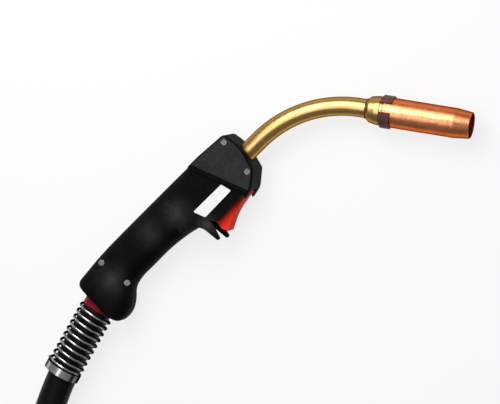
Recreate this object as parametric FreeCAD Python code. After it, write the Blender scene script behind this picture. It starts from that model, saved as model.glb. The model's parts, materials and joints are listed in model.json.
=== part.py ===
import FreeCAD
import Part
import math
import os

# Gas cooled MIG welding torch, lying on its left side on a table. Millimetres.
# X runs along the handle towards the nozzle, Y to the back of the handle, Z up from the table.
# Everything is drawn from the handle's front, and export() moves it to the row's origin, on the table
# under the neck axis.

# Handle
FRONT_X = 12.0              # the handle's front, ahead of the row's origin
MID = 20.0                  # height of the split plane of the two shells
BLOCK_HALF = 20.0           # half thickness of the front block, whose left side lies on the table
BAY_HALF = 17.0             # half thickness in the switch bay
FIN_INNER = 15.2            # the guard fins, measured from the split plane
FIN_OUTER = 19.0
BACK = 28.2                 # back edge of the front block
WALL = 2.6
NOSE_Y = -31.6              # lowest point of the front block
BAY_FLOOR_Y = -28.0         # lower edge of the bay walls
SLOT_HALF = 9.5             # half width of the trigger slot
EDGE = 3.0                  # rounding along the block's side faces

# Handle screws
SCREW_PLACES = [(-7.8, 20.0), (-10.8, -15.4), (-174.5, 22.4), (-169.5, -8.6)]
SCREW_FACE = [17.0, 17.0, 13.6, 15.0]   # height of each screw seat above the split plane
SCREW_HEAD_R = 2.8
SCREW_HEAD_H = 2.2
SCREW_R = 1.5
SCREW_LENGTH = 24.0
COUNTERBORE_R = 3.3
BOSS_R = 4.2
BOSS_WEB = 2.8              # half width

# Trigger
PIVOT = (-27.0, -26.6)
PIN_R = 1.5
TRIGGER_HALF = 9.0
PLUNGER_X = -43.0
SWITCH_FLOOR_Y = -21.5
SWITCH = (-58.0, -36.0, SWITCH_FLOOR_Y, -11.6)    # X from and to, Y from and to
PLUNGER_R = 1.24
TERMINAL_LENGTH = 4.5
TERMINAL_THICK = 0.7

# Neck
NECK_R = 9.0
NECK_WALL = 1.5
NECK_BACK = 38.0            # length inside the handle
NECK_STRAIGHT = 13.5        # straight part in front of the handle
BEND_R = 116.0
BEND = 53.0
NECK_END = 5.6              # straight part after the bend
NECK_CORE_R = 5.5           # copper tube inside the neck
LINER_BORE_R = 2.6
LINER_R = 2.2

# Nozzle end, along its own axis from the end of the neck tube
COLLAR_BACK = 2.0
COLLAR_END = 17.1
SLEEVE_BACK = 17.3          # insulating sleeve and tip holder start here
NOZZLE_BACK = 17.5
NOZZLE_LINE = 28.0          # turned line around the nozzle, in front of the lugs
NOZZLE_TAPER = 86.5
NOZZLE_MOUTH = 101.8
NOZZLE_R = 14.2
NOZZLE_BORE_R = 12.0
BORE_BACK_R = 12.6          # wider bore at the back, around the sleeve
MOUTH_R = 12.6
LUG_R = 15.7
LUG_INNER_R = 13.6          # where the lugs reach back over the collar
LUG_START = 15.1
LUG_END = 25.8
LUG_ANGLE = 82.0            # width of each lug about the axis
LUG_PLAY = 2.0              # angle between a lug and the side of its slot
LUG_TURNS = [11.5, 131.5, 251.5]
TIP_END = 93.0
WIRE_BORE_R = 0.65

# Cable and strain relief
CABLE_R = 14.1
CORE_R = 8.5
CORE_START = -66.0
EXIT = (-206.0, -2.4)       # where the cable's axis leaves the rear face
EXIT_TURN = 195.2           # its heading in degrees
COLLAR_R = 15.4
COLLAR_FLANGE_R = 17.0
COLLAR_LENGTH = 6.0
SPRING_WIRE = 2.6
SPRING_R = 16.1             # middle of the wire
SPRING_START = 6.4
SPRING_END = 70.8
OPEN_TURNS = 9.0
CLOSED_TURNS = 0.5          # at each end
CLAMP = (71.2, 78.4)
CLAMP_R = 17.6
CLAMP_BORE_R = 15.3
EAR_R = 18.6
ENTRY = 8.0                 # length of the cable inside the collar

# Coil
COIL_R = 152.0              # radius where the coil starts and ends
COIL_STEP = 28.8            # spacing of turns and of the two layers
COIL_TURNS = 2.38
COIL_START_TURN = -133.0    # heading of the cable where the coil starts

# Plug
TAIL_START = 44.0
# length, heading, height of its end
TAIL = [(44.0, 3.0, 36.5), (44.0, 5.0, 29.0), (44.0, 5.0, 23.0), (42.0, 4.0, 23.0)]
PLUG_HEADING = TAIL[-1][1]
PLUG_R = 22.0
NUT_R = 22.8
SPIGOT_R = 5.0
CONTACT_R = 1.8             # the two switch contacts
CONTACT_CIRCLE_R = 13.2
CABLE_IN_PLUG = 45.0
BOOT_BORE_R = 15.0

V = FreeCAD.Vector
UP = V(0, 0, 1)


def polar(length, degrees):
    return V(length * math.cos(math.radians(degrees)), length * math.sin(math.radians(degrees)), 0)


def rounded_outline(corners):
    """Closed wire through (x, y) or (x, y, radius) corners, each rounded by a tangent arc."""
    arcs = []
    points = [V(c[0], c[1], 0) for c in corners]
    for i, corner in enumerate(corners):
        here = points[i]
        radius = corner[2] if len(corner) > 2 else 0
        if radius == 0:
            arcs.append((here, here, here))
            continue
        back = (points[i - 1] - here).normalize()
        ahead = (points[(i + 1) % len(points)] - here).normalize()
        half = back.getAngle(ahead) / 2
        reach = radius / math.tan(half)
        middle = here + (back + ahead).normalize() * (radius / math.sin(half) - radius)
        arcs.append((here + back * reach, middle, here + ahead * reach))
    edges = []
    for i, (start, middle, end) in enumerate(arcs):
        if (start - end).Length > 1e-6:
            edges.append(Part.Arc(start, middle, end).toShape())
        following = arcs[(i + 1) % len(arcs)][0]
        if (following - end).Length > 1e-6:
            edges.append(Part.makeLine(end, following))
    return Part.Wire(edges)


def prism(corners, low, high):
    """Solid of an outline in the XY plane, between two heights."""
    shape = Part.Face(rounded_outline(corners)).extrude(V(0, 0, high - low))
    shape.translate(V(0, 0, low))
    return shape


def box(low, high):
    return Part.makeBox(high[0] - low[0], high[1] - low[1], high[2] - low[2], V(*low))


def rod(radius, start, end):
    """Cylinder between two points."""
    start, end = V(*start), V(*end)
    return Part.makeCylinder(radius, (end - start).Length, start, end - start)


def turned(profile, angle=360.0):
    """Solid of revolution about X from (x, radius) corners."""
    corners = [V(p[0], p[1], 0) for p in profile]
    face = Part.Face(Part.makePolygon(corners + corners[:1]))
    return face.revolve(V(0, 0, 0), V(1, 0, 0), angle)


def ring(start, end, inner, outer):
    return turned([(start, inner), (end, inner), (end, outer), (start, outer)])


def placed(shape, origin, heading):
    """Moves a shape from its own X axis to a horizontal axis of the torch."""
    shape = shape.copy()
    shape.rotate(V(0, 0, 0), UP, heading)
    shape.translate(V(*origin))
    return shape


def export(name, shape):
    shape.translate(V(FRONT_X, 0, 0))
    solids = shape.Solids
    shape = solids[0] if len(solids) == 1 else Part.makeCompound(solids)
    shape.exportStep("parts/" + name + ".step")
    print(name, "solids", len(solids), "valid", shape.isValid(), "volume", round(shape.Volume))


# Handle body

def section(x, half, top, bottom, top_r, bottom_r):
    """Rounded cross-section of the grip in the plane at x, about the split plane."""
    wire = rounded_outline([
        (-half, bottom, bottom_r), (half, bottom, bottom_r), (half, top, top_r), (-half, top, top_r)])
    wire.rotate(V(0, 0, 0), V(0, 1, 0), -90)
    wire.translate(V(x, 0, MID))
    return wire


# x, half width, top, bottom, top radius, bottom radius
GRIP = [
    (-44.0, 18.4, 28.4, -17.5, 9.0, 12.0),
    (-88.0, 18.6, 29.6, -16.8, 15.5, 13.0),
    (-128.0, 18.0, 30.0, -12.2, 16.5, 15.5),
    (-148.0, 18.0, 30.0, -12.2, 16.5, 15.5),
    (-162.0, 18.4, 29.8, -12.7, 16.5, 15.5),
    (-171.0, 18.8, 29.4, -15.5, 16.5, 15.5),
    (-179.0, 19.2, 28.8, -22.3, 16.0, 15.0),
    (-187.0, 19.4, 28.0, -27.3, 15.5, 14.5),
    (-195.0, 19.4, 27.2, -29.0, 15.0, 14.0),
    (-202.0, 19.0, 26.4, -28.0, 13.5, 12.5),
    (-206.5, 17.2, 24.0, -22.6, 11.5, 10.5),
]
CAVITY_END = -201.5
CAVITY_BAY_HALF = 14.4


def lofted(rows):
    solid = Part.makeLoft([section(*row) for row in rows], True, False, False, 2)
    if solid.Volume < 0:
        solid.reverse()
    return solid


def grip_cavity():
    """The same sections drawn in by the wall, which stop short of the rear wall."""
    rows = []
    for x, half, top, bottom, top_r, bottom_r in GRIP[:-1]:
        inner = CAVITY_BAY_HALF if x > -100 else half - WALL
        radius = min(top_r, bottom_r) - WALL
        rows.append((max(x, CAVITY_END), inner, top - WALL, bottom + WALL, radius, radius))
    return lofted(rows)


BLOCK = [
    (-50.0, BACK), (-36.0, BACK, 60.0), (-2.6, 25.8, 5.0), (0.8, 7.0, 50.0), (-5.2, -17.6, 5.0),
    (-19.5, -29.4, 14.0), (-30.4, NOSE_Y), (-26.4, -25.6)]
BLOCK_CAVITY = [
    (-60.0, 12.0), (-46.0, 12.0), (-46.0, 25.4), (-36.0, 25.4), (-5.4, 23.0, 3.0), (-2.0, 7.0, 48.0),
    (-8.0, -16.4, 3.0), (-16.0, -22.0), (-40.0, -22.0)]
LOWER_WALL = [
    (-30.0, 16.0), (-20.0, -8.0), (-20.0, BAY_FLOOR_Y), (-66.4, BAY_FLOOR_Y, 3.0), (-71.6, -18.0),
    (-79.6, 0.0), (-50.0, 16.0)]
LABEL = [(-37.9, -6.3, 1.2), (-34.8, -17.0, 1.2), (-70.6, -17.6, 1.2), (-75.6, -5.8, 1.2)]
LABEL_THICK = 0.6
BAY_POCKET = [
    (-50.6, 40.0), (-24.2, -24.6), (-24.2, -40.0), (-67.0, -40.0), (-71.6, -18.0, 2.0), (-98.0, 40.0)]
FIN = [
    (-96.0, -5.0), (-98.0, -13.5, 3.0), (-80.0, -18.0, 14.0), (-76.9, -41.6, 1.2), (-74.2, -41.6, 1.2),
    (-70.0, -27.0, 12.0), (-70.6, -8.0)]


def block_body():
    """Front block, whose side edges are rounded all along its back, front and nose."""
    block = prism(BLOCK, MID - BLOCK_HALF, MID + BLOCK_HALF)
    rear, lip = V(*BLOCK[0], 0), V(*BLOCK[-1], 0)
    forward = UP.cross(rear - lip).normalize() * -1
    rounded = []
    for edge in block.Edges:
        middle = edge.CenterOfMass
        flat = edge.BoundBox.ZLength < 1e-6
        if flat and (V(middle.x, middle.y, 0) - lip).dot(forward) > 0.5:
            rounded.append(edge)
    return block.makeFillet(EDGE, rounded)


def boss(place):
    """Screw boss with a web to the nearest wall."""
    x, y = place
    wall_y = y + math.copysign(9.0, y)
    low = (x - BOSS_WEB, min(y, wall_y), MID - BAY_HALF)
    high = (x + BOSS_WEB, max(y, wall_y), MID + BAY_HALF)
    return rod(BOSS_R, (x, y, MID - BAY_HALF), (x, y, MID + BAY_HALF)).fuse(box(low, high))


def mirrored(low, high):
    """A layer between two distances from the split plane, on both sides of it."""
    return [(MID + low, MID + high), (MID - high, MID - low)]


def handle_outside():
    block = block_body()
    lower_wall = prism(LOWER_WALL, MID - BAY_HALF - 1, MID + BAY_HALF + 1)
    fins = [prism(FIN, *layer) for layer in mirrored(FIN_INNER, FIN_OUTER)]
    rear = lofted(GRIP).fuse([lower_wall] + fins)
    pockets = [prism(BAY_POCKET, *layer) for layer in mirrored(BAY_HALF, BLOCK_HALF + 5)]
    return rear.cut(pockets).fuse(block)


def handle_shells():
    body = handle_outside()
    cavity = grip_cavity()
    front_cavity = prism(BLOCK_CAVITY, MID - CAVITY_BAY_HALF, MID + CAVITY_BAY_HALF)
    solid_rim = [boss(place) for place in SCREW_PLACES]
    ribs = [
        box((-26.0, -10.0, 0.0), (-23.0, 26.8, 2 * MID)),
        box((-68.0, -13.0, 0.0), (-65.0, 27.0, 2 * MID)),
        box((-150.0, -10.0, 0.0), (-147.0, 28.0, 2 * MID))]
    hollow = cavity.fuse(front_cavity)
    for part in solid_rim + ribs:
        hollow = hollow.cut(part)
    shell = body.cut(hollow)
    slot = prism(
        [(-21.6, -45.0), (-21.6, -20.0), (-70.2, -20.0), (-71.4, -26.0), (-71.4, -45.0)],
        MID - SLOT_HALF, MID + SLOT_HALF)
    switch_room = box((-69.0, -22.0, MID - SLOT_HALF), (-31.5, -9.0, MID + SLOT_HALF))
    rear_axis = placed(ring(-30.0, 20.0, 0, COLLAR_R + 0.1), (EXIT[0], EXIT[1], MID), EXIT_TURN)
    rear_seat = placed(ring(-14.0, -3.6, 0, COLLAR_FLANGE_R + 0.1), (EXIT[0], EXIT[1], MID), EXIT_TURN)
    neck_way = rod(NECK_R + 0.1, (-66.0, 0, MID), (10.0, 0, MID))
    block_way = rod(13.0, (-63.0, 0, MID), (-38.0, 0, MID))
    crimp_way = rod(10.4, (-90.0, 0, MID), (-60.0, 0, MID))
    core_way = core_cable(CORE_R + 0.4)
    shell = shell.cut([slot, switch_room, rear_axis, rear_seat, neck_way, block_way, crimp_way, core_way])
    pin_way = rod(PIN_R, (PIVOT[0], PIVOT[1], MID - 13.5), (PIVOT[0], PIVOT[1], MID + 13.5))
    shell = shell.cut(pin_way)
    for (x, y), seat in zip(SCREW_PLACES, SCREW_FACE):
        shell = shell.cut(rod(COUNTERBORE_R, (x, y, MID + seat), (x, y, 3 * MID)))
        shell = shell.cut(rod(SCREW_R + 0.1, (x, y, MID - 9.0), (x, y, MID + seat)))
    halves = []
    for low, high in ((-10.0, MID), (MID, 3 * MID)):
        halves.append(shell.common(box((-230.0, -80.0, low), (30.0, 80.0, high))))
    return halves


def screws():
    bodies = []
    for (x, y), seat in zip(SCREW_PLACES, SCREW_FACE):
        head = rod(SCREW_HEAD_R, (x, y, MID + seat), (x, y, MID + seat + SCREW_HEAD_H))
        slot = box((x - 4, y - 0.5, MID + seat + 1.2), (x + 4, y + 0.5, MID + seat + 4))
        cross = box((x - 0.5, y - 4, MID + seat + 1.2), (x + 0.5, y + 4, MID + seat + 4))
        shank = rod(SCREW_R, (x, y, MID + seat - SCREW_LENGTH + 1.5), (x, y, MID + seat))
        bodies.append(head.cut([slot, cross]).fuse(shank).removeSplitter())
    return Part.makeCompound(bodies)


# Trigger and switch

TRIGGER = [
    (-24.2, -23.4, 2.4), (-24.2, -29.6, 2.4), (-31.0, -30.0, 30.0), (-47.0, -32.5, 60.0), (-65.6, -41.5, 1.4),
    (-68.8, -35.4, 2.0), (-67.6, -26.4, 1.6), (-56.0, -23.6, 4.0)]
TRIGGER_ROOM = [(-33.0, -20.0), (-33.0, -27.0), (-48.0, -29.4), (-63.5, -36.0), (-64.5, -20.0)]
TRIGGER_BAR = [(-39.5, -24.0), (-39.5, -30.6), (-46.5, -31.4), (-46.5, -24.0)]


def trigger():
    """Wedge, hollow above, with a bar across it that presses the switch."""
    x, y = PIVOT
    body = prism(TRIGGER, MID - TRIGGER_HALF, MID + TRIGGER_HALF)
    sides = [e for e in body.Edges if e.BoundBox.ZLength < 1e-6]
    body = body.makeChamfer(0.7, sides)
    room = prism(TRIGGER_ROOM, MID - 6.6, MID + 6.6)
    bar = prism(TRIGGER_BAR, MID - 4.0, MID + 4.0)
    return body.cut(room.cut(bar)).cut(rod(PIN_R + 0.05, (x, y, 0), (x, y, 2 * MID)))


def trigger_pin():
    x, y = PIVOT
    return rod(PIN_R, (x, y, MID - 13.4), (x, y, MID + 13.4))


def switch_body():
    left, right, low, high = SWITCH
    body = box((left, low, MID - 5.0), (right, high, MID + 5.0))
    body = body.cut(rod(PLUNGER_R + 0.06, (PLUNGER_X, low - 1, MID), (PLUNGER_X, low + 5.2, MID)))
    for x in (left + 3.0, right - 3.0):
        body = body.cut(rod(1.1, (x, high - 2.4, 0), (x, high - 2.4, 2 * MID)))
    return body


def switch_plunger():
    low = SWITCH_FLOOR_Y
    return rod(PLUNGER_R, (PLUNGER_X, low - 2.2, MID), (PLUNGER_X, low + 3.0, MID))


def terminal_y(i):
    return SWITCH_FLOOR_Y + 2.0 + 4.6 * i


def switch_terminals():
    left = SWITCH[0]
    blades = []
    for i in range(2):
        low = (left - TERMINAL_LENGTH, terminal_y(i), MID - 1.6)
        blades.append(box(low, (left, terminal_y(i) + TERMINAL_THICK, MID + 1.6)))
    return Part.makeCompound(blades)


def switch_leads():
    """Two wires, soldered to the ends of the terminals, that run back under the inner cable."""
    wires = []
    for i, side in enumerate((-1, 1)):
        start = V(SWITCH[0] - TERMINAL_LENGTH, terminal_y(i) + TERMINAL_THICK / 2, MID)
        route = [
            start, start - V(3.0, 0, 0), V(-69.5, -12.3, MID + 3.2 * side), V(-93.0, -10.8, MID + 3.6 * side)]
        wires.append(tube(route, 0.9)[0])
    return Part.makeCompound(wires)


# Tubes and cords

def bend_tube(radius, back, ahead):
    """Solid rod along the neck: straight, bent, straight."""
    face = Part.Face(Part.Wire(Part.makeCircle(radius, V(-back, 0, MID), V(1, 0, 0))))
    straight = face.extrude(V(back + NECK_STRAIGHT, 0, 0))
    start = Part.Face(Part.Wire(Part.makeCircle(radius, V(NECK_STRAIGHT, 0, MID), V(1, 0, 0))))
    bend = start.revolve(V(NECK_STRAIGHT, -BEND_R, MID), V(0, 0, -1), BEND)
    start.rotate(V(NECK_STRAIGHT, -BEND_R, MID), V(0, 0, -1), BEND)
    end = start.extrude(polar(NECK_END + ahead, -BEND))
    return straight.fuse([bend, end]).removeSplitter()


def neck_layer(outer, inner, back, ahead):
    return bend_tube(outer, back, ahead).cut(bend_tube(inner, back + 1, ahead + 1))


def neck_point():
    """End of the neck tube, where the nozzle end starts."""
    turn = math.radians(BEND)
    start = V(NECK_STRAIGHT + BEND_R * math.sin(turn), BEND_R * (math.cos(turn) - 1), MID)
    return start + polar(NECK_END, -BEND)


def on_nozzle(shape):
    return placed(shape, neck_point(), -BEND)


def path(points):
    """Straight runs joined by tangent arcs, each as large as its two runs allow."""
    edges = []
    radii = []
    here = points[0]
    for before, corner, after in zip(points, points[1:], points[2:]):
        back = (before - corner).normalize()
        ahead = (after - corner).normalize()
        turn = math.pi - back.getAngle(ahead)
        reach = 0.45 * min((before - corner).Length, (after - corner).Length)
        radius = reach / math.tan(turn / 2)
        middle = corner + (back + ahead).normalize() * (radius / math.cos(turn / 2) - radius)
        edges.append(Part.makeLine(here, corner + back * reach))
        edges.append(Part.Arc(corner + back * reach, middle, corner + ahead * reach).toShape())
        here = corner + ahead * reach
        radii.append(radius)
    edges.append(Part.makeLine(here, points[-1]))
    return Part.Wire(edges), radii


def swept(wire, radius):
    """Round tube along a wire, as one pipe shell."""
    first = wire.OrderedEdges[0]
    start = first.valueAt(first.FirstParameter)
    heading = first.tangentAt(first.FirstParameter)
    circle = Part.Wire(Part.makeCircle(radius, start, heading))
    shape = wire.makePipeShell([circle], True, False)
    if shape.ShapeType != "Solid":
        shape = Part.makeSolid(shape)
    if shape.Volume < 0:
        shape.reverse()
    return shape


def tube(points, radius):
    wire, radii = path(points)
    return swept(wire, radius), wire, radii


def biarc(start, start_heading, end, end_heading):
    """Two arcs that join two points with the headings given there."""
    span = end - start
    total = start_heading + end_heading
    a = 2 * (start_heading.dot(end_heading) - 1)
    b = -2 * span.dot(total)
    c = span.dot(span)
    reach = (-b - math.sqrt(b * b - 4 * a * c)) / (2 * a)
    first = start + start_heading * reach
    second = end - end_heading * reach
    joint = (first + second) * 0.5
    return [arc_by_corner(start, first, joint), arc_by_corner(joint, second, end)]


def arc_by_corner(start, corner, end):
    """Arc between two points whose end tangents meet at the corner."""
    back = (start - corner).normalize()
    ahead = (end - corner).normalize()
    reach = (start - corner).Length
    half = back.getAngle(ahead) / 2
    radius = reach * math.tan(half)
    middle = corner + (back + ahead).normalize() * (reach / math.cos(half) - radius)
    return Part.Arc(start, middle, end).toShape()


def wound(place, steps):
    """Wire of biarcs through a curve that is given as a function of the turn."""
    edges = []
    small = 1e-5
    for before, after in zip(steps, steps[1:]):
        points = [place(before), place(after)]
        headings = [(place(t + small) - place(t - small)).normalize() for t in (before, after)]
        edges += biarc(points[0], headings[0], points[1], headings[1])
    return Part.Wire(edges)


def least_gap(points, wire_diameter, apart):
    """Smallest gap between parts of a tube that are some points apart along it."""
    least = 1e9
    for i in range(0, len(points) - apart):
        for j in range(i + apart, len(points)):
            distance = (points[i] - points[j]).Length
            least = min(least, distance)
    return least - wire_diameter


def steps_between(start, end, size):
    count = max(1, round((end - start) / size))
    return [start + (end - start) * i / count for i in range(count + 1)]


# Coil of the cable

def cable_entry():
    """Route of the cable from inside the collar to where the coil starts."""
    origin = V(EXIT[0], EXIT[1], MID)
    floor = CABLE_R
    first = origin - polar(ENTRY, EXIT_TURN)
    second = origin + polar(100.0, EXIT_TURN)
    third = second + polar(108.0, -150.0)
    third.z = floor
    last = third + polar(80.0, COIL_START_TURN)
    return [first, second, third, last]


def coil_place(turns):
    """Point of the coil's middle line: in on the lower layer, up, and out on the upper one."""
    half = COIL_TURNS / 2
    slope = math.degrees(math.atan(COIL_STEP / (2 * math.pi * COIL_R)))
    start_angle = COIL_START_TURN - 90.0 - slope
    centre = cable_entry()[-1] - polar(COIL_R, start_angle)
    radius = COIL_R - COIL_STEP * (half - abs(turns - half))
    point = centre + polar(radius, start_angle + 360.0 * turns)
    climb = min(max((turns - half) / 0.5 + 0.5, 0.0), 1.0)
    point.z = CABLE_R + COIL_STEP * climb * climb * (3 - 2 * climb)
    return point


def coil_wire():
    half = COIL_TURNS / 2
    steps = steps_between(0.0, half - 0.25, 0.25)
    steps += [half - 0.125, half, half + 0.125]
    steps += steps_between(half + 0.25, COIL_TURNS, 0.25)
    return wound(coil_place, steps)


def coil_end():
    small = 1e-5
    end = coil_place(COIL_TURNS)
    return end, (end - coil_place(COIL_TURNS - small)).normalize()


def cable_tail():
    """Route from the coil's end down to the plug."""
    start, heading = coil_end()
    first = start + heading * TAIL_START
    points = [start, first]
    for length, turn, height in TAIL:
        following = points[-1] + polar(length, turn)
        following.z = height
        points.append(following)
    return points


# Nozzle end, along its own X axis from the end of the neck tube

def round_about(shape, angles):
    """Copies of a shape turned about X."""
    copies = []
    for angle in angles:
        copy = shape.copy()
        copy.rotate(V(0, 0, 0), V(1, 0, 0), angle)
        copies.append(copy)
    return copies


def sectors(profile, angle):
    """Parts of a solid of revolution, of one width, at the places of the three lugs."""
    return round_about(turned(profile, angle), [turn - angle / 2 for turn in LUG_TURNS])


def joint_ring():
    return ring(0.0, COLLAR_BACK - 0.1, NECK_CORE_R + 0.1, NECK_R + 0.7)


def neck_collar():
    bore = NECK_CORE_R + 0.1
    return turned([
        (COLLAR_BACK, bore), (COLLAR_BACK, 10.4), (4.0, 12.3), (10.0, 13.5), (14.4, 13.8),
        (LUG_START - 0.1, 13.1), (COLLAR_END, 13.1), (COLLAR_END, bore)])


def nozzle_insulator():
    """Sleeve inside the nozzle with three lugs that stand in the nozzle's slots."""
    sleeve = ring(SLEEVE_BACK, 36.0, 7.1, BORE_BACK_R - 0.05).cut(ring(29.9, 32.1, 10.9, 20.0))
    lugs = sectors([
        (SLEEVE_BACK, 11.0), (LUG_END, 11.0), (LUG_END, LUG_R), (LUG_START + 1.0, LUG_R),
        (LUG_START, LUG_R - 1.0), (LUG_START, LUG_INNER_R), (SLEEVE_BACK, LUG_INNER_R)], LUG_ANGLE)
    return sleeve.fuse(lugs).removeSplitter()


def nozzle_spring():
    """Split ring in the sleeve's groove, which grips the nozzle."""
    return ring(30.1, 31.9, 11.0, 12.2).cut(box((29.0, -1.5, 5.0), (33.0, 1.5, 15.0)))


def tip_holder():
    body = turned([
        (SLEEVE_BACK, LINER_BORE_R), (SLEEVE_BACK, 7.0), (31.0, 7.0), (31.0, 6.4), (50.0, 6.4), (51.0, 5.6),
        (62.0, 5.6), (62.0, 3.05), (54.2, 3.05), (54.2, LINER_BORE_R)])
    holes = round_about(rod(1.1, (47.0, 2.0, 0.0), (47.0, 8.0, 0.0)), [60 * i for i in range(6)])
    return body.cut(holes)


def gas_diffuser():
    holes = round_about(rod(1.0, (30.0, 8.6, 0.0), (50.0, 8.6, 0.0)), [45 * i for i in range(8)])
    return ring(37.0, 44.0, 6.5, 10.6).cut(holes)


def contact_tip():
    return turned([
        (54.4, WIRE_BORE_R), (54.4, 3.0), (62.2, 3.0), (62.2, 4.0), (TIP_END - 5, 4.0), (TIP_END, 2.8),
        (TIP_END, WIRE_BORE_R)])


def gas_nozzle():
    line_end = NOZZLE_LINE + 0.8
    line_r = NOZZLE_R - 0.25
    body = turned([
        (NOZZLE_BACK, BORE_BACK_R), (NOZZLE_BACK, NOZZLE_R - 0.5), (NOZZLE_BACK + 0.5, NOZZLE_R),
        (NOZZLE_LINE, NOZZLE_R), (NOZZLE_LINE, line_r), (line_end, line_r), (line_end, NOZZLE_R),
        (NOZZLE_TAPER, NOZZLE_R), (NOZZLE_MOUTH - 0.5, MOUTH_R), (NOZZLE_MOUTH, MOUTH_R - 0.5),
        (NOZZLE_MOUTH, MOUTH_R - 1.5), (84.0, NOZZLE_BORE_R), (38.4, NOZZLE_BORE_R), (36.6, BORE_BACK_R)])
    front = LUG_END + 0.4
    slots = sectors([(0.0, 10.0), (front, 10.0), (front, 20.0), (0.0, 20.0)], LUG_ANGLE + 2 * LUG_PLAY)
    return body.cut(slots)


# Neck block and power cable inside the handle

def neck_block():
    """Hexagonal brass block that joins the neck to the power cable."""
    flats = 22.0
    corners = [polar(flats / math.sqrt(3), 30 + 60 * i) for i in range(6)]
    hexagon = Part.makePolygon([V(-62.0, c.x, c.y + MID) for c in corners + corners[:1]])
    body = Part.Face(hexagon).extrude(V(23.8, 0, 0))
    body = body.fuse(rod(6.0, (-66.0, 0, MID), (-62.0, 0, MID)))
    body = body.cut(rod(LINER_BORE_R, (-70.0, 0, MID), (-30.0, 0, MID)))
    return body.cut(rod(NECK_CORE_R + 0.05, (-44.0, 0, MID), (-30.0, 0, MID)))


def crimp_ferrule():
    ferrule = ring(-88.0, -63.0, CORE_R + 0.05, 10.0)
    for x in (-84.0, -77.0, -70.0):
        ferrule = ferrule.cut(ring(x, x + 2.0, 9.6, 12.0))
    ferrule.translate(V(0, 0, MID))
    return ferrule


def core_route():
    origin = V(EXIT[0], EXIT[1], MID)
    inside = [V(CORE_START, 0, MID), V(-118.0, 0, MID)]
    return inside + [origin - polar(reach, EXIT_TURN) for reach in (44.0, ENTRY)]


def core_cable(radius):
    """Inner cable from the crimp to the collar."""
    return tube(core_route(), radius)[0]


# Strain relief, along its own X axis from the handle's rear face

def on_cable(shape):
    return placed(shape, (EXIT[0], EXIT[1], MID), EXIT_TURN)


def rear_collar():
    bore = CABLE_R + 0.1
    return turned([
        (-13.4, bore), (-13.4, COLLAR_FLANGE_R), (-4.0, COLLAR_FLANGE_R), (-4.0, COLLAR_R),
        (COLLAR_LENGTH, COLLAR_R), (COLLAR_LENGTH, bore)])


def spring_place(turns):
    """Left-hand helix about X: close turns at both ends and open ones between."""
    closed = SPRING_WIRE + 0.5
    free = (SPRING_END - SPRING_START - SPRING_WIRE - 2 * CLOSED_TURNS * closed) / OPEN_TURNS
    x = SPRING_START + SPRING_WIRE / 2 + closed * min(turns, CLOSED_TURNS)
    x += free * min(max(turns - CLOSED_TURNS, 0.0), OPEN_TURNS)
    x += closed * max(turns - CLOSED_TURNS - OPEN_TURNS, 0.0)
    angle = 2 * math.pi * turns
    return V(x, SPRING_R * math.cos(angle), -SPRING_R * math.sin(angle))


def strain_spring():
    total = OPEN_TURNS + 2 * CLOSED_TURNS
    wire = wound(spring_place, steps_between(0.0, total, 0.5))
    points = wire.discretize(Number=700)
    print("spring gap", round(least_gap(points, SPRING_WIRE, 45), 2))
    return swept(wire, SPRING_WIRE / 2)


def spring_clamp():
    """Band behind the spring, with an ear that holds the spring's last turn."""
    start, end = CLAMP
    band = ring(start, end, CLAMP_BORE_R, CLAMP_R)
    ear = box((start - 2.2, -EAR_R, -6.0), (end - 1.0, 0.6 - CLAMP_R, 6.0))
    return band.fuse(ear).removeSplitter()


# Plug on the far end, along its own X axis

def on_plug(shape):
    end = cable_tail()[-1] - polar(CABLE_IN_PLUG, PLUG_HEADING)
    return placed(shape, end, PLUG_HEADING)


def plug_boot():
    """Rubber sleeve with ribs where the cable enters the plug."""
    bore = BOOT_BORE_R
    boot = turned([(0.0, bore), (0.0, 17.0), (40.0, 18.8), (46.0, 20.4), (58.0, 20.4), (58.0, bore)])
    grooves = [ring(x, x + 2.4, 16.2 + 0.045 * x, 22.0) for x in (6.0, 13.0, 20.0, 27.0, 34.0)]
    return boot.cut(grooves)


def plug_shells():
    shell = turned([
        (56.0, 20.5), (56.0, 21.4), (57.0, PLUG_R), (100.0, PLUG_R), (100.0, 17.2), (96.0, 17.2),
        (96.0, 20.5)])
    for x in (66.0, 90.0):
        for side in (-1, 1):
            shell = shell.cut(rod(1.6, (x, 0, 0), (x, 0, side * 30.0)))
            shell = shell.cut(rod(3.0, (x, 0, side * 21.0), (x, 0, side * 30.0)))
    low = box((0.0, -30.0, -30.0), (120.0, 30.0, 0.0))
    return shell.cut(low), shell.common(low)


def plug_screws():
    bodies = []
    for x in (66.0, 90.0):
        for side in (-1, 1):
            shank = rod(1.5, (x, 0, side * 7.0), (x, 0, side * 21.0))
            bodies.append(shank.fuse(rod(2.6, (x, 0, side * 21.0), (x, 0, side * 22.0))))
    return Part.makeCompound(bodies)


def plug_core():
    core = turned([
        (45.0, 2.5), (45.0, 8.0), (60.0, 8.0), (60.0, 10.0), (94.0, 10.0), (94.0, 9.0), (104.0, 9.0),
        (104.0, 7.0), (105.0, 7.0), (105.0, 6.1), (107.0, 6.1), (107.0, 7.0), (108.0, 7.0), (108.0, SPIGOT_R),
        (133.0, SPIGOT_R), (134.0, 4.4), (134.0, 2.5)])
    for x in (66.0, 90.0):
        for side in (-1, 1):
            core = core.cut(rod(1.5, (x, 0, side * 7.0), (x, 0, side * 12.0)))
    return core


def contact_places():
    return [polar(CONTACT_CIRCLE_R, angle) for angle in (60.0, 120.0)]


def plug_face():
    face = ring(95.0, 106.0, 9.1, 17.1)
    for place in contact_places():
        face = face.cut(rod(CONTACT_R + 0.06, (90.0, place.x, place.y), (110.0, place.x, place.y)))
    return face


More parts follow.
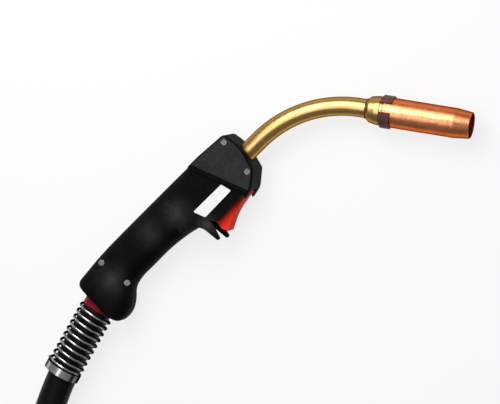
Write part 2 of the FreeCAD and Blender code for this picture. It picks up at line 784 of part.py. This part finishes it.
def plug_contact(i):
    place = contact_places()[i]
    x, y = place.x, place.y
    contact = rod(CONTACT_R, (91.0, x, y), (116.0, x, y))
    tip = [e for e in contact.Edges if e.BoundBox.XMin > 115.0]
    return contact.makeChamfer(0.5, tip)


def plug_nut():
    """Coupling nut with finger grooves."""
    nut = turned([
        (100.4, 17.5), (100.4, 21.6), (101.6, NUT_R), (122.8, NUT_R), (124.0, 21.6), (124.0, 18.2),
        (106.6, 18.2), (106.6, 17.5)])
    groove = rod(1.6, (104.0, NUT_R + 0.8, 0), (121.0, NUT_R + 0.8, 0))
    return nut.cut(round_about(groove, [20 * i for i in range(18)]))


def liner_nut():
    corners = [polar(4.4, 60 * i) for i in range(6)]
    hexagon = Part.makePolygon([V(134.1, c.x, c.y) for c in corners + corners[:1]])
    return Part.Face(hexagon).extrude(V(5.0, 0, 0)).cut(rod(1.2, (130.0, 0, 0), (145.0, 0, 0)))


def main():
    left, right = handle_shells()
    export("handle_shell_left", left)
    export("handle_shell_right", right)
    export("handle_screws", screws())
    export("label_plate", prism(LABEL, MID + BAY_HALF, MID + BAY_HALF + LABEL_THICK))
    for make in (trigger, trigger_pin, switch_body, switch_plunger, switch_terminals, switch_leads):
        export(make.__name__, make())
    export("neck_tube", neck_layer(NECK_R, NECK_R - NECK_WALL, NECK_BACK, 0))
    export("neck_insulator", neck_layer(NECK_R - NECK_WALL - 0.1, NECK_CORE_R + 0.1, NECK_BACK - 1, -0.1))
    export("neck_core", neck_layer(NECK_CORE_R, LINER_BORE_R, NECK_BACK + 5.9, COLLAR_END))
    export("wire_liner", neck_layer(LINER_R, 1.0, 62.0, 54.0))
    for make in (
            joint_ring, neck_collar, nozzle_insulator, nozzle_spring, tip_holder, gas_diffuser, contact_tip,
            gas_nozzle):
        export(make.__name__, on_nozzle(make()))
    export("neck_block", neck_block())
    export("crimp_ferrule", crimp_ferrule())
    export("power_cable", core_cable(CORE_R))
    for make in (rear_collar, strain_spring, spring_clamp):
        export(make.__name__, on_cable(make()))
    export_cable()
    upper, lower = plug_shells()
    export("plug_shell_upper", on_plug(upper))
    export("plug_shell_lower", on_plug(lower))
    for make in (plug_boot, plug_screws, plug_core, plug_face, plug_nut, liner_nut):
        export(make.__name__, on_plug(make()))
    for i in range(2):
        export("plug_contact_%d" % (i + 1), on_plug(plug_contact(i)))
    o_ring = Part.makeTorus(6.95, 0.8, V(106.0, 0, 0), V(1, 0, 0))
    export("plug_o_ring", on_plug(o_ring))


def export_cable():
    """The cable's three lengths, which meet face to face."""
    coil = coil_wire()
    total = coil.Length
    for name, route in (("cable_run", cable_entry()), ("cable_tail", cable_tail())):
        solid, wire, radii = tube(route, CABLE_R)
        export(name, solid)
        print(name, "radii", [round(r) for r in radii])
        print_volume(solid, wire)
        total += wire.Length
    solid = swept(coil, CABLE_R)
    export("cable_coil", solid)
    print("coil gap", round(least_gap(coil.discretize(Number=420), 2 * CABLE_R, 60), 2))
    print_volume(solid, coil)
    print("cable length", round(total))


def print_volume(solid, wire):
    ratio = solid.Volume / (math.pi * CABLE_R ** 2 * wire.Length)
    print("length", round(wire.Length), "volume over section times length", round(ratio, 4))


os.makedirs("parts", exist_ok=True)
main()
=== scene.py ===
import bpy
import json
import math
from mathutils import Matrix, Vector


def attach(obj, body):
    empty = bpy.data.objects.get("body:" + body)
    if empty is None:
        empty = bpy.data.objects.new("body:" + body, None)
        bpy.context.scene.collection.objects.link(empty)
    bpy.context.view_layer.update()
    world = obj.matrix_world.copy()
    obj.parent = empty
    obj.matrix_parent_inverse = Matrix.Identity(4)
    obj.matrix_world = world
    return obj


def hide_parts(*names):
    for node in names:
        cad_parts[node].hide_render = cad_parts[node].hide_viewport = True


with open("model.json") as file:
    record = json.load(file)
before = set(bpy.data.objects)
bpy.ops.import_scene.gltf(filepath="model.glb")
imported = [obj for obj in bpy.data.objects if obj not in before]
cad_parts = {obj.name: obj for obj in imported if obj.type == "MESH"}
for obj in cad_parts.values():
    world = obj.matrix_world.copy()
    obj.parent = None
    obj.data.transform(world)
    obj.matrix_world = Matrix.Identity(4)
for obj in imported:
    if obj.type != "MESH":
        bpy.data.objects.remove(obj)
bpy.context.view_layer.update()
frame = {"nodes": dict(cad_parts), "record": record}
NODES = frame["nodes"]

# Places are given as in part.py, in millimetres from the handle's front.
FRONT_X = 12.0
MID = 20.0


def mm(x, y, z):
    """Point of the frame, in metres."""
    return Vector((x + FRONT_X, y, z)) / 1000


def polar(length, degrees):
    """Step along the table, with its turn from the X axis."""
    turn = math.radians(degrees)
    return Vector((length * math.cos(turn), length * math.sin(turn), 0))


# Camera

PHOTO_W, PHOTO_H = 500, 404
MM_PER_PX = 0.94
DISTANCE = 6.0
SENSOR = 36.0
CLIP_START = 0.05
TOWARDS_CAMERA = Vector((0.2205, -0.1324, 0.9664)).normalized()
IMAGE_UP = Vector((0.7034, 0.7108, 0.0))
# The handle's front on the mid-plane, and the pixel of the photo that shows it
KNOWN_POINT, KNOWN_PX = mm(0, 0, MID), (248.9, 150.8)


def add_camera():
    right = IMAGE_UP.cross(TOWARDS_CAMERA).normalized()
    up = TOWARDS_CAMERA.cross(right)
    scale = MM_PER_PX / 1000
    across = (KNOWN_PX[0] - PHOTO_W / 2) * scale
    above = (PHOTO_H / 2 - KNOWN_PX[1]) * scale
    target = KNOWN_POINT - right * across - up * above
    data = bpy.data.cameras.new("camera")
    data.sensor_fit = "HORIZONTAL"
    data.sensor_width = SENSOR
    data.lens = SENSOR * DISTANCE / (PHOTO_W * scale)
    data.clip_start = CLIP_START
    camera = bpy.data.objects.new("camera", data)
    bpy.context.scene.collection.objects.link(camera)
    axes = [right, up, TOWARDS_CAMERA]
    place = target + TOWARDS_CAMERA * DISTANCE
    for row in range(3):
        for column in range(3):
            camera.matrix_world[row][column] = axes[column][row]
        camera.matrix_world[row][3] = place[row]
    bpy.context.scene.camera = camera


add_camera()

# Cable, on the route of part.py: three runs to the coil, the coil, and a tail to the connector

CABLE_R = 14.1
EXIT, EXIT_TURN = Vector((-206.0, -2.4, MID)), 195.2
ENTRY = 8.0                   # how far inside the handle the cable starts
STRAIGHT = 30.0               # how far behind the exit one more point keeps it straight in the spring
FIRST_RUN = 100.0
ASIDE = 2.2                   # moves the first run's end sideways, so that the cable follows the photo's
SECOND_RUN, SECOND_TURN = 108.0, -150.0
THIRD_RUN = 80.0
COIL_R, COIL_STEP, COIL_TURNS, COIL_START_TURN = 152.0, 28.8, 2.38, -133.0
COIL_PARTS = 86
CLIMB_TURNS = 0.5             # the part of a turn in which the coil climbs to its second layer
TAIL_START = 44.0
# Length and turn of each step of the tail, and the height of its end
TAIL = [(44.0, 3.0, 36.5), (44.0, 5.0, 29.0), (44.0, 5.0, 23.0), (42.0, 4.0, 23.0)]
ROUNDNESS = 8
STEPS_PER_POINT = 10


def cable_route():
    """Control points of the whole cable, in millimetres."""
    aside = polar(ASIDE, EXIT_TURN + 90.0)
    second = EXIT + polar(FIRST_RUN, EXIT_TURN)
    third = second + polar(SECOND_RUN, SECOND_TURN)
    third.z = CABLE_R
    start = third + polar(THIRD_RUN, COIL_START_TURN)
    points = [EXIT - polar(ENTRY, EXIT_TURN), EXIT + polar(STRAIGHT, EXIT_TURN), second + aside, third]
    half = COIL_TURNS / 2
    slope = math.degrees(math.atan(COIL_STEP / (2 * math.pi * COIL_R)))
    start_angle = COIL_START_TURN - 90.0 - slope
    centre = start - polar(COIL_R, start_angle)
    for i in range(COIL_PARTS + 1):
        turns = COIL_TURNS * i / COIL_PARTS
        radius = COIL_R - COIL_STEP * (half - abs(turns - half))
        point = centre + polar(radius, start_angle + 360.0 * turns)
        climb = min(max((turns - half) / CLIMB_TURNS + 0.5, 0.0), 1.0)
        point.z = CABLE_R + COIL_STEP * climb * climb * (3 - 2 * climb)
        points.append(point)
    heading = start_angle + 360.0 * COIL_TURNS + 90.0 - slope
    points.append(points[-1] + polar(TAIL_START, heading))
    for length, turn, height in TAIL:
        following = points[-1] + polar(length, turn)
        following.z = height
        points.append(following)
    return points


def nurbs(name, points, radius):
    """Round cord; its radius is given by its points, so that its bounding box is true."""
    curve = bpy.data.curves.new(name, "CURVE")
    curve.dimensions = "3D"
    curve.bevel_depth = 1.0
    curve.bevel_resolution = ROUNDNESS
    curve.use_fill_caps = True
    spline = curve.splines.new("NURBS")
    spline.points.add(len(points) - 1)
    for place, point in zip(spline.points, points):
        place.co = (*mm(*point), 1.0)
        place.radius = radius / 1000
    spline.order_u = 3
    spline.use_endpoint_u = True
    spline.resolution_u = STEPS_PER_POINT
    piece = bpy.data.objects.new(name, curve)
    bpy.context.scene.collection.objects.link(piece)
    return piece


cable_points = cable_route()
cable = nurbs("cable", cable_points, CABLE_R)
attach(cable, "torch")
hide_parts("cable_run", "cable_coil", "cable_tail")


# Materials. Lengths in them are metres, and the scales of noise are spots for each metre.

def grey(level):
    return (level, level, level)


class Graph:
    """Node tree of one material. Its plain base and roughness show where the nodes aren't read."""

    def __init__(self, name, base, roughness, metallic=0.0, **sockets):
        self.material = bpy.data.materials.new(name)
        self.material.use_nodes = True
        self.nodes = self.material.node_tree.nodes
        self.links = self.material.node_tree.links
        self.shader = self.nodes["Principled BSDF"]
        self.shader.inputs["Base Color"].default_value = (*base, 1.0)
        self.shader.inputs["Roughness"].default_value = roughness
        self.shader.inputs["Metallic"].default_value = metallic
        for socket, value in sockets.items():
            self.shader.inputs[socket.replace("_", " ")].default_value = value
        self.where = self.add("ShaderNodeTexCoord").outputs["Object"]

    def add(self, kind, inputs=None, **settings):
        node = self.nodes.new(kind)
        for key, value in settings.items():
            setattr(node, key, value)
        for key, value in (inputs or {}).items():
            self.set(node.inputs[key], value)
        return node

    def set(self, socket, value):
        if isinstance(value, bpy.types.NodeSocket):
            self.links.new(value, socket)
        else:
            socket.default_value = value

    def math(self, operation, *values, clamp=False):
        node = self.add("ShaderNodeMath", operation=operation, use_clamp=clamp)
        for socket, value in zip(node.inputs, values):
            self.set(socket, value)
        return node.outputs[0]

    def times(self, first, second):
        return self.math("MULTIPLY", first, second)

    def noise(self, scale, detail=2.0, rough=0.5):
        return self.add("ShaderNodeTexNoise", {
            "Vector": self.where, "Scale": scale, "Detail": detail, "Roughness": rough}).outputs["Fac"]

    def ramp(self, factor, low, high, start=0.0, end=1.0):
        """The factor's range from low to high as one from start to end, held at its ends."""
        node = self.add("ShaderNodeMapRange", {
            "Value": factor, "From Min": low, "From Max": high, "To Min": start, "To Max": end})
        return node.outputs["Result"]

    def cloud(self, scale, detail, rough, low, high, start=0.0, end=1.0):
        """Noise with its range from low to high as one from start to end."""
        return self.ramp(self.noise(scale, detail, rough), low, high, start, end)

    def mix(self, factor, first, second):
        node = self.add("ShaderNodeMix", data_type="RGBA")
        self.set(node.inputs["Factor"], factor)
        for index, value in ((6, first), (7, second)):
            self.set(node.inputs[index], value if isinstance(value, bpy.types.NodeSocket) else (*value, 1.0))
        return node.outputs[2]

    def dot(self, first, second):
        node = self.add("ShaderNodeVectorMath", {0: first, 1: second}, operation="DOT_PRODUCT")
        return node.outputs["Value"]

    def axis(self, direction, offset):
        """Distance along a direction, less the offset."""
        return self.math("SUBTRACT", self.dot(self.where, direction), offset)

    def near(self, point, reach):
        """1 at a point, falling softly to 0 at the reach around it."""
        node = self.add("ShaderNodeVectorMath", {0: self.where, 1: point}, operation="DISTANCE")
        fall = self.ramp(node.outputs["Value"], reach, 0.0)
        return self.times(fall, fall)

    def colour(self, value):
        self.set(self.shader.inputs["Base Color"], value)

    def rough(self, value):
        self.set(self.shader.inputs["Roughness"], value)

    def bump(self, height, distance, strength):
        """Relief of the surface, on top of the relief that it has."""
        last = self.shader.inputs["Normal"].links
        node = self.add("ShaderNodeBump", {"Height": height, "Distance": distance, "Strength": strength})
        if last:
            self.links.new(last[0].from_socket, node.inputs["Normal"])
        self.links.new(node.outputs["Normal"], self.shader.inputs["Normal"])

    def normal(self):
        return self.add("ShaderNodeNewGeometry").outputs["Normal"]

    def edges(self, radius):
        """1 along the sharp edges of the piece, in worn patches, and 0 on its faces."""
        bevel = self.add("ShaderNodeBevel", {"Radius": radius}, samples=6)
        turn = self.dot(bevel.outputs["Normal"], self.normal())
        return self.times(self.ramp(turn, 0.985, 0.88), self.cloud(300.0, 3.0, 0.7, 0.42, 0.6))

    def upright(self, low, high):
        """1 on upright surfaces and 0 on those that face up or down; it places painted shade on the sides.
        """
        return self.ramp(self.math("ABSOLUTE", self.dot(self.normal(), (0, 0, 1))), high, low)

    def specks(self, scale, size):
        """1 in small round spots, 0 between them."""
        cells = self.add("ShaderNodeTexVoronoi", {"Vector": self.where, "Scale": scale})
        return self.ramp(cells.outputs["Distance"], size, 0.6 * size)


# The block ends at a slanted line: a point of it, the direction across it and half the width of the change
BLOCK_END, ACROSS_BLOCK_END = mm(-50.6, 40.0, 0), Vector((64.6, 26.4, 0)).normalized()
BLOCK_BLEND = 0.0001
# Distances from the mid-plane: half the width of the seam between the shells, and the end of its rim
SEAM, SEAM_RIM = 0.0001, 0.00022
# Places on the grip that the hand polishes, and that are painted lighter as sheen: x, y, z and reach in
# millimetres
POLISH_AND_SHEEN_SPOTS = [
    (-179.0, 3.5, 39.0, 25.0), (-88.0, 5.0, 38.0, 24.0),
    (-120.0, 9.0, 31.0, 24.0), (-74.0, -24.0, 39.0, 18.0)]
GRIP_ROUGHNESS, BLOCK_ROUGHNESS, POLISH = 0.66, 0.6, 0.56
GRIP_GRAIN = 0.35             # the grip's share of the block's grain

NECK_TIP, NOZZLE_TURN = mm(109.512, -50.662, MID), -53.0
# Distances from the neck's tip over which the marks of heat grow, on the brass and on the copper
NECK_HEAT = (-0.03, 0.016)
MOUTH_HEAT = (0.07, 0.104)

# How far the wear of an edge reaches into the faces beside it
METAL_EDGE, SOFT_EDGE, LABEL_EDGE = 0.0005, 0.0006, 0.0008


def handle_material():
    """Dark grained block, painted near black on its upright faces as shade; behind a slanted line a blacker
    grip, polished by the hand in spots that are painted lighter as sheen.
    """
    g = Graph("handle_plastic", grey(0.02), 0.45, Specular_IOR_Level=0.05)
    block = g.ramp(g.axis(ACROSS_BLOCK_END, BLOCK_END.dot(ACROSS_BLOCK_END)), -BLOCK_BLEND, BLOCK_BLEND)
    coarse, fine = g.cloud(55.0, 4.0, 0.6, 0.3, 0.7), g.cloud(480.0, 3.0, 0.75, 0.32, 0.68)
    shade = g.math("ADD", g.times(coarse, 0.35), g.times(fine, 0.65))
    flat = g.mix(shade, (0.014, 0.0142, 0.0144), (0.040, 0.0403, 0.040))
    # Painted shade: the block's upright faces are painted near black.
    block_with_painted_shade = g.mix(g.upright(0.75, 0.97), flat, (0.0025, 0.0022, 0.0022))
    black = g.mix(shade, (0.0008, 0.0008, 0.0009), (0.005, 0.005, 0.0052))
    polish_and_sheen = 0.0
    for x, y, z, reach in POLISH_AND_SHEEN_SPOTS:
        polish_and_sheen = g.math("MAXIMUM", polish_and_sheen, g.near(mm(x, y, z), reach / 1000))
    polish_and_sheen = g.times(polish_and_sheen, g.cloud(120.0, 4.0, 0.7, 0.3, 0.6, 0.55, 1.0))
    # Painted sheen: the polished spots are painted a lighter grey; the same mask also lowers the roughness.
    painted_sheen = g.mix(g.times(polish_and_sheen, 0.85), black, grey(0.046))
    worn = g.mix(g.edges(SOFT_EDGE), g.mix(block, painted_sheen, block_with_painted_shade), grey(0.05))
    beside_seam = g.ramp(g.math("ABSOLUTE", g.axis((0, 0, 1), MID / 1000)), SEAM, SEAM_RIM)
    g.colour(g.mix(beside_seam, grey(0.001), worn))
    grip = g.math("SUBTRACT", GRIP_ROUGHNESS, g.times(polish_and_sheen, POLISH))
    g.rough(g.math("MAXIMUM", grip, g.times(block, BLOCK_ROUGHNESS)))
    g.bump(g.times(g.noise(2600.0, 2.0, 0.6), g.ramp(block, 0.0, 1.0, GRIP_GRAIN, 1.0)), 0.00012, 0.6)
    g.bump(beside_seam, 0.0003, 0.8)
    return g.material


def along_nozzle(g, span):
    """0 before a span of distances from the neck's tip along the nozzle, 1 after it."""
    axis = polar(1.0, NOZZLE_TURN)
    return g.ramp(g.axis(axis, NECK_TIP.dot(axis)), *span)


def brass_material():
    """Bright drawn brass with a little tarnish, browner towards the nozzle, and painted browner and darker
    on its sides as shade.
    """
    g = Graph("neck_brass", (0.6, 0.36, 0.115), 0.34, 1.0, Specular_Tint=(0.2, 0.105, 0.04, 1.0))
    bright = g.mix(g.cloud(45.0, 3.0, 0.6, 0.3, 0.7), (0.68, 0.455, 0.18), (0.59, 0.37, 0.13))
    tarnished = g.mix(g.times(g.cloud(160.0, 5.0, 0.75, 0.5, 0.72), 0.18), bright, (0.30, 0.15, 0.04))
    heated = g.mix(g.times(along_nozzle(g, NECK_HEAT), 0.25), tarnished, (0.40, 0.22, 0.08))
    # Painted shade: the sides are painted browner, and the steepest ones dark.
    painted_side_tone = g.mix(g.times(g.upright(0.78, 0.98), 0.5), heated, (0.62, 0.33, 0.07))
    painted_side_shade = g.mix(g.times(g.upright(0.1, 0.78), 0.75), painted_side_tone, (0.17, 0.07, 0.018))
    g.colour(g.mix(g.edges(METAL_EDGE), painted_side_shade, (0.75, 0.5, 0.2)))
    g.rough(g.cloud(70.0, 3.0, 0.6, 0.3, 0.75, 0.27, 0.35))
    g.bump(g.noise(2400.0, 2.0, 0.6), 0.000006, 0.4)
    return g.material


def copper_material():
    """Copper, tarnished in patches, painted redder and darker on its sides as shade, darker and with spatter
    near the nozzle's mouth.
    """
    g = Graph("nozzle_copper", (0.75, 0.33, 0.14), 0.42, 1.0, Specular_Tint=(0.24, 0.085, 0.03, 1.0))
    bright = g.mix(g.cloud(80.0, 5.0, 0.7, 0.35, 0.7), (0.92, 0.41, 0.22), (0.80, 0.30, 0.13))
    stained = g.mix(g.times(g.cloud(190.0, 5.0, 0.75, 0.5, 0.66), 0.72), bright, (0.38, 0.10, 0.04))
    near_mouth = along_nozzle(g, MOUTH_HEAT)
    heated = g.mix(g.times(near_mouth, 0.4), stained, (0.36, 0.12, 0.06))
    # Painted shade: the sides are painted a deeper red, and the steepest ones dark.
    painted_red_sides = g.mix(g.times(g.upright(0.78, 0.98), 0.7), heated, (0.88, 0.21, 0.05))
    painted_side_shade = g.mix(g.times(g.upright(0.1, 0.75), 0.7), painted_red_sides, (0.26, 0.055, 0.018))
    spatter = g.times(g.times(g.specks(420.0, 0.22), g.cloud(90.0, 2.0, 0.5, 0.45, 0.6)), near_mouth)
    marked = g.mix(spatter, painted_side_shade, (0.12, 0.08, 0.06))
    g.colour(g.mix(g.edges(METAL_EDGE), marked, (0.85, 0.45, 0.22)))
    g.rough(g.cloud(150.0, 5.0, 0.7, 0.3, 0.75, 0.29, 0.43))
    g.bump(g.noise(2100.0, 2.0, 0.6), 0.00001, 0.5)
    g.bump(spatter, 0.0004, 0.8)
    return g.material


def label_material():
    """White plate, a little dirty along its edges."""
    g = Graph("label_white", (0.8, 0.8, 0.79), 0.35)
    clean = g.mix(g.cloud(160.0, 3.0, 0.6, 0.35, 0.7), (0.93, 0.93, 0.925), (0.87, 0.87, 0.86))
    g.colour(g.mix(g.times(g.edges(LABEL_EDGE), 0.5), clean, (0.5, 0.49, 0.46)))
    g.rough(g.cloud(500.0, 2.0, 0.5, 0.3, 0.7, 0.3, 0.45))
    g.bump(g.noise(900.0), 0.00003, 0.5)
    return g.material


def rubber_material(name, base, second, roughness, level):
    """Soft black rubber with fine grain, pale scuffs and worn edges."""
    g = Graph(name, base, roughness, Specular_IOR_Level=level)
    clean = g.mix(g.cloud(60.0, 4.0, 0.6, 0.32, 0.7), base, second)
    scuffed = g.mix(g.times(g.cloud(190.0, 5.0, 0.8, 0.58, 0.7), 0.4), clean, grey(0.022))
    g.colour(g.mix(g.edges(SOFT_EDGE), scuffed, grey(0.04)))
    g.rough(g.cloud(330.0, 3.0, 0.6, 0.3, 0.7, roughness - 0.09, roughness + 0.11))
    g.bump(g.noise(1100.0, 3.0, 0.65), 0.00012, 0.6)
    return g.material


def plain(name, base, second, roughness, spread, grain, height, cloud_scale=90.0, metallic=0.0, wear=None,
          side_shade=None, **sockets):
    """Material whose colour, roughness and surface vary a little, with worn edges, and painted shade on its
    upright sides where given.
    """
    g = Graph(name, base, roughness, metallic, **sockets)
    colour = g.mix(g.cloud(cloud_scale, 4.0, 0.6, 0.32, 0.7), base, second)
    # Painted shade: the upright sides are painted darker.
    if side_shade:
        colour = g.mix(g.upright(0.3, 0.88), colour, side_shade)
    if wear:
        colour = g.mix(g.edges(METAL_EDGE), colour, wear)
    g.colour(colour)
    g.rough(g.cloud(4 * cloud_scale, 3.0, 0.6, 0.3, 0.7, roughness - spread, roughness + spread))
    g.bump(g.noise(grain, 2.0, 0.6), height, 0.6)
    return g.material


MATERIALS = {
    "handle_plastic": handle_material(),
    "neck_brass": brass_material(),
    "nozzle_copper": copper_material(),
    "label_white": label_material(),
    "cable_rubber": rubber_material("cable_rubber", grey(0.0035), grey(0.007), roughness=0.42, level=0.09),
    "boot_rubber": rubber_material("boot_rubber", grey(0.007), grey(0.012), roughness=0.6, level=0.12),
    "trigger_red": plain(
        "trigger_red", (0.97, 0.042, 0.016), (0.90, 0.030, 0.013), roughness=0.55, spread=0.06,
        grain=1800.0, height=0.00002, wear=(0.95, 0.06, 0.03), Specular_IOR_Level=0.06),
    "screw_steel": plain(
        "screw_steel", grey(0.15), grey(0.09), roughness=0.3, spread=0.08,
        grain=2400.0, height=0.00005, metallic=1.0, wear=grey(0.3)),
    # The spring's upright sides are painted dark as shade.
    "spring_steel": plain(
        "spring_steel", (0.76, 0.76, 0.75), grey(0.58), roughness=0.23, spread=0.05,
        grain=2200.0, height=0.00001, metallic=1.0, side_shade=(0.07, 0.068, 0.063),
        Specular_Tint=(*grey(0.08), 1.0)),
    "insulator_brown": plain(
        "insulator_brown", (0.17, 0.045, 0.036), (0.05, 0.029, 0.026), roughness=0.55, spread=0.08,
        grain=2000.0, height=0.0001, cloud_scale=240.0, wear=(0.2, 0.10, 0.08), Specular_IOR_Level=0.25),
    "collar_red": plain(
        "collar_red", (0.24, 0.004, 0.015), (0.16, 0.003, 0.010), roughness=0.4, spread=0.06,
        grain=1700.0, height=0.00006, wear=(0.2, 0.03, 0.04), Specular_IOR_Level=0.12),
    "plug_plastic": plain(
        "plug_plastic", (0.010, 0.010, 0.0105), (0.016, 0.016, 0.017), roughness=0.45, spread=0.07,
        grain=2400.0, height=0.0001, wear=grey(0.06), Specular_IOR_Level=0.25),
    "liner_steel": plain(
        "liner_steel", (0.35, 0.35, 0.36), (0.25, 0.25, 0.26), roughness=0.4, spread=0.08,
        grain=3000.0, height=0.0001, metallic=1.0),
    "seal_rubber": plain(
        "seal_rubber", grey(0.012), grey(0.02), roughness=0.5, spread=0.06, grain=2500.0, height=0.00005),
    "switch_plastic": plain(
        "switch_plastic", (0.03, 0.03, 0.033), (0.045, 0.045, 0.05), roughness=0.5, spread=0.06,
        grain=2500.0, height=0.00005),
    "lead_blue": plain(
        "lead_blue", (0.03, 0.08, 0.35), (0.02, 0.06, 0.28), roughness=0.4, spread=0.06,
        grain=2000.0, height=0.00004),
}

for entry in frame["record"]["subparts"]:
    node = NODES[entry["node"]]
    node.data.materials.clear()
    node.data.materials.append(MATERIALS[entry["material_slot"]])
cable.data.materials.append(MATERIALS["cable_rubber"])


# Floor, world and lamps

FLOOR_SIZE = 6.0
FLOOR_PLAIN_SHARE = 0.8       # how much of the floor shows as a plain white, so that the shadow stays faint
WORLD_LEVEL = 0.2
LAMP_TARGET, LAMP_DISTANCE = Vector((0.05, -0.05, 0.02)), 1.3


def background_rays(g):
    """1 for the rays that show the background: those of the camera, of gloss and of glass."""
    rays = g.add("ShaderNodeLightPath").outputs
    shown = g.math("ADD", rays["Is Camera Ray"], rays["Is Glossy Ray"], clamp=True)
    return g.math("ADD", shown, rays["Is Transmission Ray"], clamp=True)


def floor_material():
    """White paper that keeps a faint shadow of the object."""
    g = Graph("floor", grey(0.9), 0.9)
    g.colour(g.mix(g.cloud(900.0, 2.0, 0.5, 0.3, 0.7), grey(0.89), grey(0.91)))
    white = g.add("ShaderNodeEmission", {"Color": (1.0, 1.0, 1.0, 1.0), "Strength": 1.0})
    mix = g.add("ShaderNodeMixShader", {
        0: g.times(background_rays(g), FLOOR_PLAIN_SHARE), 1: g.shader.outputs[0], 2: white.outputs[0]})
    g.links.new(mix.outputs[0], g.nodes["Material Output"].inputs["Surface"])
    return g.material


def add_stage():
    bpy.ops.mesh.primitive_plane_add(size=FLOOR_SIZE, location=(0, 0, 0))
    floor = bpy.context.object
    floor.name = "floor"
    floor.data.materials.append(floor_material())
    world = bpy.data.worlds.new("studio")
    world.use_nodes = True
    bpy.context.scene.world = world
    background = world.node_tree.nodes["Background"]
    background.inputs["Color"].default_value = (1.0, 1.0, 1.0, 1.0)
    background.inputs["Strength"].default_value = WORLD_LEVEL


def add_lamp(name, direction, side, radiance):
    """Square softbox that faces the object, given by its radiance."""
    data = bpy.data.lights.new(name, "AREA")
    data.shape = "SQUARE"
    data.size = side
    data.energy = radiance * math.pi * side * side
    lamp = bpy.data.objects.new(name, data)
    bpy.context.scene.collection.objects.link(lamp)
    towards_lamp = Vector(direction).normalized()
    lamp.location = LAMP_TARGET + towards_lamp * LAMP_DISTANCE
    lamp.rotation_euler = towards_lamp.to_track_quat("Z", "Y").to_euler()


bpy.context.scene.view_settings.view_transform = "Standard"
add_stage()
add_lamp("key", direction=(0.27, 0.57, 0.78), side=1.0, radiance=5.2)
add_lamp("overhead", direction=(-0.25, 0.15, 0.957), side=0.6, radiance=2.3)

bpy.context.view_layer.update()
